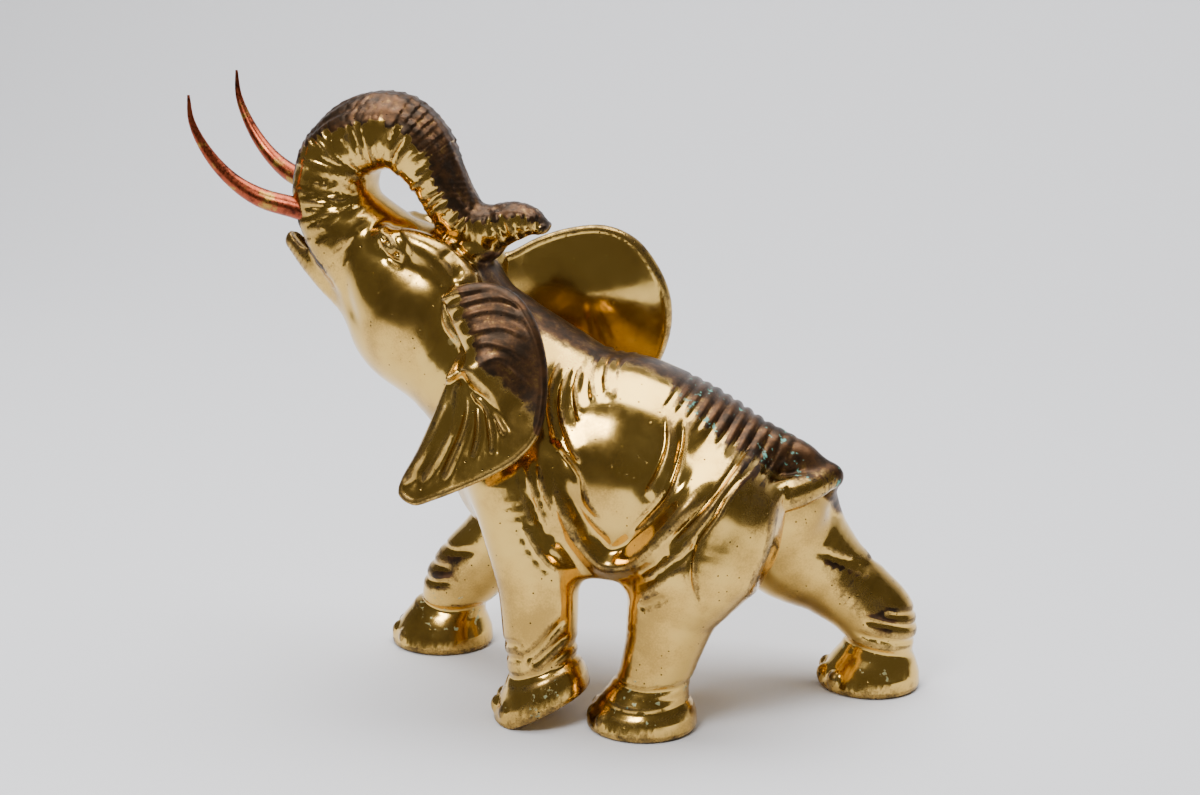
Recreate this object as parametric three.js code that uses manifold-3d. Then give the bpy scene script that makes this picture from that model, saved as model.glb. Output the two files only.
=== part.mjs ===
// A cast bronze elephant striding with its head thrown back, trunk curled over its brow, and two copper tusks.
// Millimetres, +Z up. It looks along -X and its left side faces -Y. The origin is under the middle of its box.
//
// The casting is one implicit form: swept limbs and ellipsoids melted together, then carved by folds and ribs.
// It is polygonised on a tetrahedral grid and thinned where it is smooth, so the triangles go to the carving.
import * as THREE from "three";
import { mergeVertices } from "three/addons/utils/BufferGeometryUtils.js";
import Module from "manifold-3d";

const wasm = await Module();
wasm.setup();

// ---------------------------------------------------------------- driving dimensions
const GRID = 2.6; // spacing of the polygonising grid
const BODY_TRIANGLES = 9000;
const FIT = 0.3; // gap between a tusk and its socket
const SINK = 3; // the form reaches this far below the ground before the soles are cut flat

// ---------------------------------------------------------------- scalar helpers
const clamp = (v, lo, hi) => Math.min(hi, Math.max(lo, v));
const lerp = (a, b, t) => a + (b - a) * t;
// Union of two distances, melted together over a width of about k.
const melt = (a, b, k) => {
  const h = Math.max(k - Math.abs(a - b), 0) / k;
  return Math.min(a, b) - (h * h * k) / 4;
};
// Intersection with a rounded edge.
const trim = (a, b, k) => -melt(-a, -b, k);
const smooth = (lo, hi, v) => {
  const t = clamp((v - lo) / (hi - lo), 0, 1);
  return t * t * (3 - 2 * t);
};
const hill = (u, v, ru, rv) => Math.exp(-((u / ru) ** 2) - (v / rv) ** 2);

// ---------------------------------------------------------------- solids as distances
// An ellipsoid whose +X end is raised by `pitch` degrees.
function ellipsoid([cx, cy, cz], [rx, ry, rz], pitch = 0) {
  const c = Math.cos((pitch * Math.PI) / 180);
  const s = Math.sin((pitch * Math.PI) / 180);
  return (x, y, z) => {
    const dx = x - cx, dy = y - cy, dz = z - cz;
    const u = c * dx + s * dz, w = c * dz - s * dx;
    const a = Math.hypot(u / rx, dy / ry, w / rz);
    const b = Math.hypot(u / (rx * rx), dy / (ry * ry), w / (rz * rz));
    return b < 1e-9 ? -Math.min(rx, ry, rz) : (a * (a - 1)) / b;
  };
}

// A limb through stations [x, y, z, radius], smoothed by a spline.
function limb(stations, steps = 5) {
  const n = (stations.length - 1) * steps;
  const path = new THREE.CatmullRomCurve3(stations.map(([x, y, z]) => new THREE.Vector3(x, y, z)));
  const size = new THREE.CatmullRomCurve3(stations.map((s) => new THREE.Vector3(s[3], 0, 0)));
  const p = [], r = [];
  for (let i = 0; i <= n; i++) {
    p.push(path.getPoint(i / n));
    r.push(size.getPoint(i / n).x);
  }
  const box = new THREE.Box3().setFromPoints(p);
  const big = Math.max(...r);
  return (x, y, z) => {
    const out = box.distanceToPoint(new THREE.Vector3(x, y, z));
    if (out > big + 30) return out - big;
    let best = Infinity;
    for (let i = 0; i < n; i++) {
      const a = p[i], b = p[i + 1];
      const ex = b.x - a.x, ey = b.y - a.y, ez = b.z - a.z;
      const t = clamp(((x - a.x) * ex + (y - a.y) * ey + (z - a.z) * ez) / (ex * ex + ey * ey + ez * ez), 0, 1);
      const d = Math.hypot(x - a.x - t * ex, y - a.y - t * ey, z - a.z - t * ez) - lerp(r[i], r[i + 1], t);
      if (d < best) best = d;
    }
    return best;
  };
}

// A foot: a bell with a flat sole, its top leaning back by `lean`; `pitch` lifts its heel.
const BELL = [[-8, 29.5], [3, 29.5], [9, 28], [16, 24.5], [22, 20.5], [27, 18.5], [34, 17.5]];
function foot([cx, cy, cz], size, lean, pitch = 0) {
  const c = Math.cos((pitch * Math.PI) / 180);
  const s = Math.sin((pitch * Math.PI) / 180);
  return (x, y, z) => {
    const dx = x - cx, dz = z - cz;
    const w = c * dz - s * dx;
    const u = c * dx + s * dz - lean * clamp(w, 0, 30);
    const i = clamp(BELL.findIndex(([h]) => h > w), 1, BELL.length - 1);
    const [h0, r0] = BELL[i - 1], [h1, r1] = BELL[i];
    const r = size * lerp(r0, r1, clamp((w - h0) / (h1 - h0), 0, 1));
    const wall = (Math.hypot(u, (y - cy) / 0.93) - r) * 0.85;
    return trim(trim(wall, -w, 2.5), w - 30, 6);
  };
}

// ---------------------------------------------------------------- torso
const torso = [
  [ellipsoid([8, 0, 127], [60, 57, 59]), 0],
  [ellipsoid([-42, 0, 138], [43, 50, 58]), 16],
  [ellipsoid([40, 0, 124], [38, 50, 50]), 10],
  [ellipsoid([58, 0, 113], [36, 47, 46]), 10],
  [ellipsoid([69, -25, 108], [32, 28, 40]), 8],
  [limb([[56, 0, 141, 26], [74, 0, 139, 20], [90, 0, 138, 14], [104, 0, 136, 9]]), 12],
  [limb([[-40, 0, 158, 44], [-66, 0, 177, 42], [-92, 0, 197, 38]]), 14],
  [ellipsoid([16, 0, 84], [34, 26, 19]), 12],
  ...[-1, 1].map((side) => {
    const fold = [[-8, 37, 95, 13], [10, 39, 88, 12], [28, 38, 88, 12], [46, 37, 98, 13]];
    return [limb(fold.map(([x, y, z, r]) => [x, side * y, z, r])), 9];
  }),
  [ellipsoid([82, 26, 105], [33, 26, 35]), 4],
];

// ---------------------------------------------------------------- head
const cheek = ellipsoid([-100, 0, 203], [42, 37, 43]);
const cranium = ellipsoid([-86, 0, 212], [27, 34, 27]);
const face = limb([[-104, 0, 213, 34], [-123, 0, 231, 27], [-140, 0, 247, 23]]);
const jaw = limb([[-122, 0, 206, 20], [-145, 0, 215, 12], [-160, 0, 227, 9.5], [-172, 0, 237, 6]]);
const mouth = ellipsoid([-163, 0, 238], [16, 7.5, 6.5], -42);
const headBumps = [
  ...[-1, 1].flatMap((side) => [
    [limb([[-112, side * 22, 246, 6], [-97, side * 23, 243, 8], [-82, side * 23, 236, 9],
      [-70, side * 24, 225, 9]]), 7],
    [ellipsoid([-106.6, side * 29.6, 242.4], [5.5, 4.2, 3.4], -42), 1],
  ]),
  [ellipsoid([-70, 0, 238], [14, 13, 7]), 5],
];

// ---------------------------------------------------------------- legs
const legs = [
  limb([[-34, -40, 126, 27], [-28, -44, 100, 24], [-23, -46, 72, 21], [-22, -46, 46, 19.5], [-21, -46, 30, 18.5]]),
  limb([[64, -34, 112, 32], [60, -41, 92, 31], [50, -43, 70, 24.5], [44, -44, 46, 20], [38, -44, 24, 18]]),
  limb([[-42, 34, 112, 28], [-60, 42, 80, 24], [-77, 43, 60, 21.5], [-91, 43, 45, 21], [-99, 43, 34, 19.5],
    [-101, 43, 24, 17]]),
  limb([[72, 34, 108, 33], [90, 42, 80, 32], [112, 45, 62, 23.5], [131, 45, 48, 20.5], [141, 45, 37, 20.5],
    [141, 45, 24, 17.5]]),
];
const feet = [
  foot([-22, -46, 4], 0.98, 0.5, 27),
  foot([32, -44, 0], 0.98, 0.16),
  foot([-109, 43, 0], 0.98, 0.16),
  foot([136, 45, 0], 0.93, 0.16),
];
const NAIL_ANGLES = [52, 20, -12, -44]; // from straight ahead, towards the left side
const nails = [[-20, -46], [32, -44], [-109, 43], [136, 45]].flatMap(([cx, cy]) =>
  NAIL_ANGLES.map((angle) => {
    const a = (angle * Math.PI) / 180;
    return ellipsoid([cx - 24 * Math.cos(a), cy - 22.5 * Math.sin(a), 6.5], [4.5, 4.5, 5.5]);
  }));

// ---------------------------------------------------------------- trunk
// Stations along the trunk: [x, z, half thickness, half width].
const TRUNK = [
  [-113.5, 218.5, 24, 28], [-137, 238.5, 21.5, 27], [-148.5, 259, 20, 25], [-147.5, 275, 21.5, 24],
  [-142, 288, 19.7, 23], [-128, 297, 20.7, 22], [-113, 298.5, 20, 21], [-101, 291, 18, 19.5],
  [-90.5, 276, 14.5, 17.5], [-82.5, 261.5, 13.5, 15.5], [-73.5, 252, 12.5, 13.5], [-62, 250, 12, 12],
  [-51, 253.5, 10.5, 11], [-42, 254.5, 7.5, 9.5], [-34, 252, 4, 6.5],
];
const TRUNK_STEPS = 5;
const FLATNESS = 2.5; // above 2, the trunk's sides are flatter than an ellipse's
const RIB_SPACING = 7.5;
const RIB_DEPTH = 1.1;
function sweptTrunk() {
  const n = (TRUNK.length - 1) * TRUNK_STEPS;
  const line = new THREE.CatmullRomCurve3(TRUNK.map(([x, z]) => new THREE.Vector3(x, 0, z)));
  const size = new THREE.CatmullRomCurve3(TRUNK.map((t) => new THREE.Vector3(t[2], t[3], 0)));
  const p = [], r = [], run = [0];
  for (let i = 0; i <= n; i++) {
    p.push(line.getPoint(i / n));
    r.push(size.getPoint(i / n));
    if (i) run.push(run[i - 1] + p[i].distanceTo(p[i - 1]));
  }
  return (x, y, z) => {
    if (x < -185 || x > -10 || z < 180 || Math.abs(y) > 50) return 30;
    let best = Infinity, at = 0, share = 0;
    for (let i = 0; i < n; i++) {
      const a = p[i], b = p[i + 1];
      const ex = b.x - a.x, ez = b.z - a.z;
      const t = clamp(((x - a.x) * ex + (z - a.z) * ez) / (ex * ex + ez * ez), 0, 1);
      const d = Math.hypot(x - a.x - t * ex, y, z - a.z - t * ez) - lerp(r[i].x, r[i + 1].x, t);
      if (d < best) {
        best = d;
        at = i;
        share = t;
      }
    }
    const a = p[at], b = p[at + 1], len = Math.hypot(b.x - a.x, b.z - a.z);
    const tx = (b.x - a.x) / len, tz = (b.z - a.z) / len;
    const dx = x - lerp(a.x, b.x, share), dz = z - lerp(a.z, b.z, share);
    const out = -tz * dx + tx * dz; // towards the outside of the curl
    const along = tx * dx + tz * dz; // past either end
    const thick = lerp(r[at].x, r[at + 1].x, share), wide = lerp(r[at].y, r[at + 1].y, share);
    const power = (v) => Math.abs(v) ** FLATNESS;
    const level = (power(out / thick) + power(y / wide) + power(along / thick)) ** (1 / FLATNESS);
    const tube = (level - 1) * Math.min(thick, wide);
    const s = lerp(run[at], run[at + 1], share);
    const lip = 1.5 * smooth(0.62, 0.86, Math.abs(y) / wide) * smooth(24, 50, s); // the crease that bounds the back
    const arch = 3.4 - 1.9 * smooth(52, 108, s); // the back grows more domed along the curl
    const dome = out - (thick - (y * y) / (arch * wide) + lip);
    const ribbed = smooth(18, 34, s) * smooth(-1.1, -0.5, out / thick) * smooth(0.5, 0.9, Math.abs(y) / wide);
    const rib = RIB_DEPTH * ribbed * Math.cos((2 * Math.PI * s) / RIB_SPACING);
    return trim(tube + rib, dome * 0.85, 1.2);
  };
}
const trunk = sweptTrunk();

// ---------------------------------------------------------------- ears
const EAR_THICK = 5;
const EAR_ROOT = 8; // how much thicker an ear is at its root
// An ear is a sheet over its (x, z) outline; `stand` gives how far it stands out sideways.
// Near `root`, a point [x, z], the sheet thickens and runs into the head.
function ear(side, outline, stand, root, strokes) {
  const loop = new THREE.CatmullRomCurve3(outline.map(([x, z]) => new THREE.Vector3(x, z, 0)), true);
  const poly = loop.getPoints(outline.length * 5).slice(0, -1);
  const box = new THREE.Box3().setFromPoints(poly).expandByScalar(25);
  return (x, y, z) => {
    const s = y * side;
    if (s < 15 || x < box.min.x || x > box.max.x || z < box.min.y || z > box.max.y) return 25;
    let d = Infinity, inside = false;
    for (let i = 0, j = poly.length - 1; i < poly.length; j = i++) {
      const a = poly[j], b = poly[i];
      const ex = b.x - a.x, ez = b.y - a.y, wx = x - a.x, wz = z - a.y;
      const t = clamp((wx * ex + wz * ez) / (ex * ex + ez * ez), 0, 1);
      d = Math.min(d, Math.hypot(wx - t * ex, wz - t * ez));
      if (a.y > z !== b.y > z && x < a.x + ((z - a.y) / ez) * ex) inside = !inside;
    }
    const edge = inside ? -d : d;
    const e = 0.5;
    const gx = (stand(x + e, z) - stand(x - e, z)) / (2 * e);
    const gz = (stand(x, z + e) - stand(x, z - e)) / (2 * e);
    const off = s - stand(x, z);
    const thick = EAR_THICK + EAR_ROOT * hill(x - root[0], z - root[1], 17, 30);
    const relief = off > -thick / 2 ? strokes.reduce((sum, mark) => sum + mark(x, y, z), 0) : 0;
    const rim = 0.9 * smooth(-4.5, -1.5, edge); // the margin is a little thicker
    const sheet = Math.abs(off) / Math.sqrt(1 + gx * gx + gz * gz) - thick / 2 - rim - relief;
    return trim(sheet, edge, 4);
  };
}

// ---------------------------------------------------------------- folds
// A mark follows [x, z] stations on one side of the animal (side -1 left, 1 right, 0 both) and fades at its ends.
// Its profile gives a height from the distance off the line, positive to the right of its direction of travel.
function marked(side, reach, stations, ends, profile) {
  const curve = new THREE.CatmullRomCurve3(stations.map(([x, z]) => new THREE.Vector3(x, z, 0)));
  const n = (stations.length - 1) * 4;
  const p = curve.getPoints(n);
  const box = new THREE.Box3().setFromPoints(p).expandByScalar(reach);
  return (x, y, z) => {
    if (x < box.min.x || x > box.max.x || z < box.min.y || z > box.max.y) return 0;
    const here = side ? smooth(0, 12, y * side) : 1;
    if (here === 0) return 0;
    let best = Infinity, place = 0, turn = 0;
    for (let i = 0; i < n; i++) {
      const ex = p[i + 1].x - p[i].x, ez = p[i + 1].y - p[i].y;
      const wx = x - p[i].x, wz = z - p[i].y;
      const t = clamp((wx * ex + wz * ez) / (ex * ex + ez * ez), 0, 1);
      const d = Math.hypot(wx - t * ex, wz - t * ez);
      if (d < best) {
        best = d;
        place = (i + t) / n;
        turn = Math.sign(ex * wz - ez * wx);
      }
    }
    return smooth(0, ends, place) * smooth(0, ends, 1 - place) * here * profile(best * turn);
  };
}

// A positive height raises a fold between two shallow furrows; a negative one cuts a groove.
const stroke = (side, width, height, stations, ends = 0.22) =>
  marked(side, 3 * width, stations, ends, (off) => {
    const q = Math.abs(off) / width;
    const ridge = Math.exp(-q * q);
    return height * (height > 0 ? ridge - 0.5 * Math.exp(-((q - 1.8) ** 2) * 1.4) : ridge);
  });

// A fold of skin that bulges on one side of its line and ends in an edge over a furrow on the other.
const lap = (side, width, height, stations, ends = 0.22) =>
  marked(side, 3 * width, stations, ends, (off) =>
    height * (Math.exp(-((off / (off > 0 ? width : 1.5)) ** 2)) - 0.45 * Math.exp(-(((off + 2) / 1.8) ** 2))));

// Laps and folds of the trunk of the body: behind the ear, under the arm, across the flank, round the thigh.
const LAPS = [
  [5, 2.0, [[-17, 190], [-18, 170], [-12, 150]]],
  [6, 2.2, [[-12, 188], [-12, 168], [-5, 152], [4, 141]]],
  [4, 1.4, [[-7, 187], [-6, 174], [0, 160]]],
  [6, 1.6, [[42, 167], [45, 152], [41, 138], [35, 127]]],
  [7, 2.4, [[50, 169], [53, 153], [52, 140], [49, 130], [40, 118], [24, 101]]],
  [6, 2.0, [[84, 150], [80, 141], [73, 130], [62, 117], [50, 104]]],
  [7, 2.3, [[89, 143], [80, 132], [75, 122], [69, 113], [66, 104], [66, 91], [69, 74]]],
];
const FOLDS = [
  [2.2, 1.0, [[-1, 190], [1, 180], [6, 170]]],
  [2.2, 0.9, [[5, 190], [7, 181], [12, 172]]],
  [2.2, 0.8, [[11, 189], [12, 181], [16, 172]]],
  [4.4, 3.2, [[-24, 156], [-12, 131], [-4, 112], [4, 97], [13, 88], [24, 89], [38, 101], [51, 116], [63, 132],
    [73, 149]]],
  [2.2, -1.4, [[-20, 152], [0, 136], [4, 121], [15, 108]]],
  [2.2, -1.2, [[-8, 134], [1, 117], [8, 107], [18, 98]]],
  [2.2, -1.5, [[67, 114], [62, 104], [52, 96], [42, 87], [31, 78]]],
  [2, -1.1, [[53, 104], [46, 97], [34, 87]]],
  [2, -1.2, [[52, 82], [43, 76], [35, 70]]],
  [2, 1.5, [[-24, 142], [-18, 124], [-11, 103]]],
  [2, 1.5, [[-19, 142], [-14, 124], [-7, 99]]],
  [2, -1.2, [[-24, 130], [-18, 114], [-11, 97]]],
  [2, 1.0, [[-24, 112], [-17, 98], [-7, 84]]],
];
const LEG_FOLDS = [
  [-1, 1.9, -1.3, [[-26, 36], [-17, 44], [-4, 62]]],
  [-1, 1.9, -1.2, [[-22, 33], [-13, 42], [-3, 52]]],
  [-1, 1.9, -1.1, [[-16, 31], [-8, 38], [-1, 45]]],
  [-1, 1.9, -1.2, [[-42, 40], [-33, 44], [-26, 45]]],
  [-1, 1.9, -1.2, [[-42, 33], [-33, 36], [-24, 37]]],
  [-1, 2.2, -1.6, [[-44, 24], [-32, 24], [-20, 28], [-6, 33], [4, 38]]],
  [-1, 1.8, -1.1, [[12, 27], [30, 25], [46, 26], [64, 29]]],
  [-1, 1.8, -1.0, [[6, 17], [26, 14], [48, 15], [68, 19]]],
  [1, 2, -1.6, [[-130, 58], [-112, 49], [-94, 51]]],
  [1, 2, -1.4, [[-130, 44], [-112, 40], [-92, 44]]],
  [1, 2, -1.2, [[-112, 60], [-97, 59], [-80, 63]]],
  [1, 2.4, -1.6, [[-130, 30], [-112, 25], [-98, 24], [-74, 27]]],
  [1, 1.9, -1.4, [[134, 44], [152, 40], [168, 34]]],
  [1, 1.9, -1.3, [[145, 47], [156, 44], [168, 40]]],
  [1, 1.9, -1.3, [[128, 36], [148, 32], [166, 27]]],
  [1, 1.8, -1.1, [[118, 27], [136, 26], [160, 21]]],
  [1, 1.9, -1.4, [[110, 83], [124, 74], [142, 66]]],
];
const SPINE = [[46, 181], [57, 175.5], [68, 168.5], [79, 160.5], [90, 152.5], [101, 145]];
const bodyStrokes = [
  ...FOLDS.flatMap(([w, h, line]) => [stroke(-1, w, h, line), stroke(1, w, 0.7 * h, line)]),
  ...LAPS.flatMap(([w, h, line]) => [lap(-1, w, h, line), lap(1, w, 0.7 * h, line)]),
  ...LEG_FOLDS.map(([side, w, h, line]) => stroke(side, w, h, line)),
  ...SPINE.map(([x, z]) => stroke(0, 1.8, -1.3, [[x + 3, z + 9], [x, z], [x - 3, z - 9]])),
  lap(-1, 8, 1.8, [[87, 66], [91, 80], [94, 90], [98, 101], [100, 113], [101, 126], [103, 134]]),
];
const headStrokes = [-1, 1].flatMap((side) => [
  stroke(side, 4.5, -1.8, [[-122, 249], [-131, 240], [-134, 230], [-134, 218], [-130, 206], [-122, 196]]),
  stroke(side, 1.8, -1.1, [[-113, 252.5], [-104, 250], [-98, 243], [-96.5, 235]]),
  stroke(side, 2.2, -1.3, [[-80, 242], [-72, 236], [-68, 227]]),
]);
const earStrokes = [
  stroke(-1, 3.0, 2.4, [[-59, 192], [-60, 178], [-65, 162], [-73, 147], [-82, 133]], 0.12),
  stroke(-1, 2.6, 1.8, [[-56, 188], [-56, 175], [-60, 160], [-66, 147], [-73, 134]], 0.12),
  stroke(-1, 2.2, 1.5, [[-53, 185], [-51, 173], [-52, 161], [-56, 148], [-60, 136]], 0.12),
  stroke(-1, 2, 1.3, [[-50, 182], [-46, 172], [-44, 160], [-46, 147]], 0.12),
  stroke(-1, 2, 1.1, [[-48, 180], [-41, 170], [-37, 159], [-36, 150]], 0.12),
  stroke(-1, 1.9, 0.7, [[-78, 217], [-64, 226], [-46, 229]]),
  stroke(-1, 1.9, 0.7, [[-66, 210], [-52, 218], [-38, 220], [-22, 215]]),
  stroke(-1, 1.9, 0.7, [[-54, 201], [-42, 205], [-30, 202], [-18, 194]]),
];
const NEAR_EAR = [
  [-84, 129], [-75, 123.5], [-64, 127], [-50, 133], [-36, 140], [-22, 149], [-13, 161], [-11, 178], [-13, 196],
  [-19, 212], [-31, 226], [-46, 231.5], [-61, 230], [-74, 221], [-75, 207], [-64, 190], [-67, 174], [-76, 150],
];
// The left ear's upper lobe rolls out of the head and bulges over the hanging one along a steep edge.
function nearStand(x, z) {
  const across = 0.78 * (x + 64) + 0.62 * (z - 205);
  const down = 0.62 * (x + 64) - 0.78 * (z - 205);
  const swell = 10 * smooth(-7, 5, across) * Math.exp(-((Math.max(across, 0) / 34) ** 2));
  const lobe = swell * (1 - smooth(18, 50, down));
  const out = 66 + 0.385 * (180 - z) + lobe + 3 * hill(x + 66, z - 158, 9, 26);
  const fromRoot = Math.max(0, 0.905 * (x + 68) + 0.426 * (z - 205));
  const below = 0.426 * (x + 68) - 0.905 * (z - 205);
  return lerp(out, 35, Math.exp(-((fromRoot / 10) ** 2)) * (1 - smooth(10, 22, below)));
}
const nearEar = ear(-1, NEAR_EAR, nearStand, [-76, 212], earStrokes);
const FAR_EAR = [
  [-76, 230], [-66, 229], [-52, 236], [-36, 241], [-18, 242], [-3, 235], [7.5, 222], [15, 204], [16, 186],
  [10.5, 166],
  [0, 150], [-18, 138], [-40, 130], [-62, 132], [-76, 150], [-82, 180], [-82, 210],
];
const farEar = ear(1, FAR_EAR, (x, z) =>
  58 + 0.42 * (x + 30) + 0.0017 * Math.max(0, 215 - z) ** 2 - 10 * hill(x + 80, z - 208, 18, 32) -
  7 * hill(x + 20, z - 205, 26, 26), [-80, 205], []);

// ---------------------------------------------------------------- tail
const tailShelf = limb([[92, -26, 122, 8], [104, -18, 124, 8.5], [114, -8, 127, 7.5], [121, 0, 129.5, 5.5]]);
const tail = limb([
  [88, 0, 141, 11], [102, 0, 137.5, 9], [113, 0, 133, 7], [120.5, 3, 128.5, 5], [118, 14, 121, 4.6],
  [114.5, 28, 112, 4.6], [114.5, 42, 99, 4.2], [112, 56, 86, 4], [114, 65, 73, 4.5], [116, 67.5, 62, 5], [120, 66.5, 53, 2.5],
]);

// ---------------------------------------------------------------- whole casting
const total = (marks, x, y, z) => marks.reduce((sum, mark) => sum + mark(x, y, z), 0);
function casting(x, y, z) {
  let d = 1e3;
  for (const [part, k] of torso) d = k ? melt(d, part(x, y, z), k) : part(x, y, z);
  legs.forEach((leg, n) => (d = melt(d, leg(x, y, z), n === 3 ? 5 : 12)));
  d = melt(d, tailShelf(x, y, z), 5);
  for (const shoe of feet) d = melt(d, shoe(x, y, z), 3);
  for (const nail of nails) d = melt(d, nail(x, y, z), 1.5);
  if (Math.abs(d) < 9) d -= total(bodyStrokes, x, y, z);
  let head = melt(cheek(x, y, z), cranium(x, y, z), 12);
  head = melt(head, face(x, y, z), 10);
  head = melt(head, jaw(x, y, z), 6);
  head = melt(head, trunk(x, y, z), 6);
  for (const [bump, k] of headBumps) head = melt(head, bump(x, y, z), k);
  if (Math.abs(head) < 9) head -= total(headStrokes, x, y, z);
  head = trim(head, -mouth(x, y, z), 1.5);
  d = melt(d, head, 8);
  d = melt(d, tail(x, y, z), 5);
  d = melt(d, nearEar(x, y, z), 4);
  d = melt(d, farEar(x, y, z), 4);
  return Math.max(d, -z - SINK);
}

// ---------------------------------------------------------------- polygonising
// Marching tetrahedra: six to each grid cell, so the surface is always closed.
const CELL_TETS = [[0, 5, 1, 7], [0, 1, 3, 7], [0, 3, 2, 7], [0, 2, 6, 7], [0, 6, 4, 7], [0, 4, 5, 7]];
function polygonise(field, low, high, step) {
  const [nx, ny, nz] = [0, 1, 2].map((k) => Math.ceil((high[k] - low[k]) / step) + 1);
  const at = (i, j, k) => i + nx * (j + ny * k);
  const value = new Float32Array(nx * ny * nz);
  for (let k = 0; k < nz; k++)
    for (let j = 0; j < ny; j++)
      for (let i = 0; i < nx; i++)
        value[at(i, j, k)] = field(low[0] + i * step, low[1] + j * step, low[2] + k * step);
  const points = [], faces = [], made = new Map();
  const place = (n) => [n % nx, Math.floor(n / nx) % ny, Math.floor(n / (nx * ny))].map((c, k) => low[k] + c * step);
  const crossing = (a, b) => {
    const key = Math.min(a, b) * value.length + Math.max(a, b);
    let v = made.get(key);
    if (v === undefined) {
      const t = clamp(value[a] / (value[a] - value[b]), 0.05, 0.95);
      const p = place(a), q = place(b);
      v = points.push(p.map((c, k) => lerp(c, q[k], t))) - 1;
      made.set(key, v);
    }
    return v;
  };
  const cutTet = (tet) => {
    const inner = tet.filter((n) => value[n] < 0), outer = tet.filter((n) => value[n] >= 0);
    if (!inner.length || !outer.length) return;
    const order = [...inner, ...outer].map((n) => tet.indexOf(n));
    let swaps = 0;
    for (let a = 0; a < 4; a++)
      for (let b = a + 1; b < 4; b++) if (order[a] > order[b]) swaps++;
    const add = (a, b, c) => faces.push(swaps % 2 ? [a, c, b] : [a, b, c]);
    if (inner.length === 1) add(...outer.map((n) => crossing(inner[0], n)));
    else if (inner.length === 3) add(...inner.map((n) => crossing(n, outer[0])));
    else {
      const ring = [[0, 0], [0, 1], [1, 1], [1, 0]].map(([i, o]) => crossing(inner[i], outer[o]));
      add(ring[0], ring[1], ring[2]);
      add(ring[0], ring[2], ring[3]);
    }
  };
  for (let k = 0; k + 1 < nz; k++)
    for (let j = 0; j + 1 < ny; j++)
      for (let i = 0; i + 1 < nx; i++) {
        const corner = [0, 1, 2, 3, 4, 5, 6, 7].map((c) => at(i + (c & 1), j + ((c >> 1) & 1), k + (c >> 2)));
        const under = corner.filter((c) => value[c] < 0).length;
        if (under > 0 && under < 8) for (const tet of CELL_TETS) cutTet(tet.map((c) => corner[c]));
      }
  return { points, faces };
}

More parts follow.
